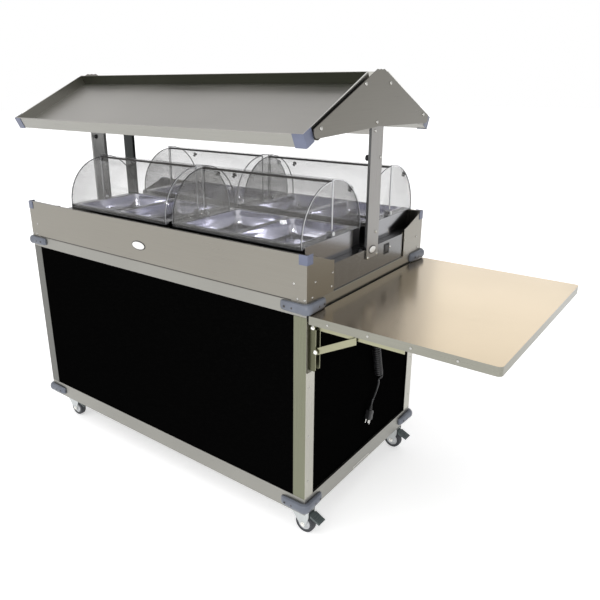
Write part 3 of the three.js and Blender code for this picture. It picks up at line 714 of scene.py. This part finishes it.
# ---------- fasteners ----------
fixings = Shape()
for sx in (-1, 1):
    for sy in (-1, 1):
        for x, z in ((701, 969), (715, 921), (742, 921)):
            fixings.rivet((sx * x, sy * HALF_Y, z), (0, sy, 0))
        for y, z in ((357, 970), (373, 923), (258, 976), (263, 930)):
            fixings.rivet((sx * HALF_X, sy * y, z), (sx, 0, 0))
        for z in (614, 431, 253):
            fixings.rivet((sx * HALF_X, sy * 386, z), (sx, 0, 0), 4, 1.8)
    for y, z in ((-96, 1552), (68, 1552), (-346, 1434), (338, 1438)):
        fixings.rivet((sx * 753.3, y, z), (sx, 0, 0), 6.5, 3.4)
    fixings.rivet((sx * 753.3, -14, 1432), (sx, 0, 0), 6, 3.2)
    for y, z in ((-16, 1404), (28, 1314), (19, 1057), (31, 975), (-31, 972)):
        fixings.rivet((sx * HALF_X, y, z), (sx, 0, 0), 5.5, 3)
fixings.make("cart_fasteners", [RIVET], "cart", "bright_steel")

seams = Shape()
for sy in (-1, 1):
    seams.box((-690, 690), sorted((sy * 403.6, sy * 404.7)), (911.6, 914.6))
seams.make("apron_seams", [SEAM], "cart", "grey_plastic", 0.3)

rail_lip = Shape()
rail_lip.box((749.6, 751.2), (-71, 45), (132.2, 134.2))
for y in (-70, 44):
    rail_lip.box((749.6, 751.2), (y - 1, y + 1), (120.6, 132))
rail_lip.make("end_rail_lip", [BOLT_AND_HIGHLIGHT], "cart", "bright_steel", 0.3)

shelf_rivets = Shape()
for x in (827, 965, 1101, 1236):
    for sy in (-1, 1):
        shelf_rivets.rivet((x, sy * HALF_Y, 860), (0, sy, 0), 4.5, 2.4)
shelf_rivets.make("shelf_rivets", [RIVET], "shelf", "bright_steel")

hinge_bolts = Shape()
for sy in (-1, 1):
    for x, z in ((765, 832), (776, 751)):
        hinge_bolts.bolt((x, sy * (390.9), z), (0, sy, 0), 10, 4)
    for z in (811, 740, 692):
        hinge_bolts.rivet((753.3, sy * 366, z), (1, 0, 0), 4, 2)
hinge_bolts.make("bracket_bolts", [BOLT_AND_HIGHLIGHT], "cart", "zinc")

post_knobs = Shape()
for sx in (-1, 1):
    post_knobs.lathe([(4, 0), (4, 4), (9, 5), (10, 8), (10, 13), (7, 15), (0, 15.5)],
                     (sx * 739.8, -26, 1316), (-sx, 0, 0), 18)
post_knobs.make("post_knobs", [BLACK], "cart", "black_plastic")


# ---------- badge blanks and switch surround ----------
def oval(shape, centre, right, up, normal, half_w, half_h, lift, thick):
    rings = []
    for share, height in ((1, 0), (1, thick * 0.6), (0.94, thick)):
        rings.append([Vector(centre) + Vector(right) * half_w * share * math.cos(a)
                      + Vector(up) * half_h * share * math.sin(a) + Vector(normal) * (lift + height)
                      for a in (2 * math.pi * i / 40 for i in range(40))])
    shape.loft(rings)


badges = Shape()
for centre, right, normal, hw, hh in (((-25, -HALF_Y, 976), (1, 0, 0), (0, -1, 0), 38, 18),
                                      ((HALF_X, -1, 997), (0, 1, 0), (1, 0, 0), 25, 15)):
    badges.paint = 1
    oval(badges, centre, right, (0, 0, 1), normal, hw, hh, 0, 1.4)
    badges.paint = 0
    oval(badges, centre, right, (0, 0, 1), normal, hw - 4, hh - 3.6, 1.3, 0.8)
badges.make("blank_badges", [BADGE, SEAM], "cart", "grey_plastic")

controls = Shape()
corners = ((1, 1), (-1, 1), (-1, -1), (1, -1))
surround = ((745.3, 18.5, 19.5), (747, 18, 19), (747, 15.2, 16.2), (745.3, 15.2, 16.2))
controls.loft([[(x, SWITCH_Y + a * w, SWITCH_Z + b * h) for a, b in corners]
               for x, w, h in surround], loop=True)
controls.paint = 1
controls.rivet((745.3, 142, 975), (1, 0, 0), 4.2, 2)
controls.make("switch_surround", [BLACK, BOLT_AND_HIGHLIGHT], "cart", "black_plastic", 0.3)


# ---------- floor and light ----------
def make_floor():
    mesh = bpy.data.meshes.new("floor")
    reach = 30
    corners = [(-reach, -reach, 0), (reach, -reach, 0), (reach, reach, 0), (-reach, reach, 0)]
    mesh.from_pydata(corners, [], [(0, 1, 2, 3)])
    floor = bpy.data.objects.new("floor", mesh)
    scene.collection.objects.link(floor)
    shader = Shader("floor_paper", specular=0.1)
    shader.colour(shader.noise(3, detail=2), (0.86, 0.86, 0.86), (0.88, 0.88, 0.88))
    shader.bsdf.inputs["Roughness"].default_value = 0.9
    shader.bsdf.inputs["Emission Color"].default_value = (1, 1, 1, 1)
    shader.bsdf.inputs["Emission Strength"].default_value = 0.42
    mesh.materials.append(shader.material)


def soft_light(name, place, target, size, power, colour=(1, 1, 1)):
    data = bpy.data.lights.new(name, "AREA")
    data.size, data.energy, data.color = size, power, colour
    light = bpy.data.objects.new(name, data)
    scene.collection.objects.link(light)
    light.location = place
    light.rotation_euler = (Vector(target) - Vector(place)).to_track_quat("-Z", "Y").to_euler()
    light.visible_camera = False


def wide_key(direction, strength, spread):
    """An overcast key: one very wide, even source, so the floor stays the same tone all the way out."""
    data = bpy.data.lights.new("key", "SUN")
    data.energy, data.angle = strength, math.radians(spread)
    light = bpy.data.objects.new("key", data)
    scene.collection.objects.link(light)
    light.rotation_euler = Vector(direction).to_track_quat("-Z", "Y").to_euler()


def make_studio():
    """White all round the horizon and dimmer overhead, so bare metal has something dark to mirror."""
    world = bpy.data.worlds.new("studio")
    scene.world = world
    world.use_nodes = True
    tree = world.node_tree
    heading = tree.nodes.new("ShaderNodeTexCoord").outputs["Generated"]
    split = tree.nodes.new("ShaderNodeSeparateXYZ")
    ramp = tree.nodes.new("ShaderNodeValToRGB")
    ramp.color_ramp.elements[0].position, ramp.color_ramp.elements[0].color = 0.16, (1.0, 1.0, 1.0, 1)
    ramp.color_ramp.elements[1].position, ramp.color_ramp.elements[1].color = 0.55, (0.60, 0.60, 0.61, 1)
    tree.links.new(heading, split.inputs["Vector"])
    tree.links.new(split.outputs["Z"], ramp.inputs["Fac"])
    tree.links.new(ramp.outputs["Color"], tree.nodes["Background"].inputs["Color"])
    tree.nodes["Background"].inputs["Strength"].default_value = 1.0


make_floor()
make_studio()
wide_key((0.5, 1.0, -1.5), 1.3, 70)
soft_light("back_glow", (-0.35, 4.4, 2.75), (0.7, 0, 0.9), 1.5, 5, (1, 0.95, 0.86))
soft_light("flash", (1.9, -2.5, 2.1), (0, 0, 1.0), 0.4, 26)

scene.view_settings.view_transform = "Standard"
scene.cycles.transparent_max_bounces = 48
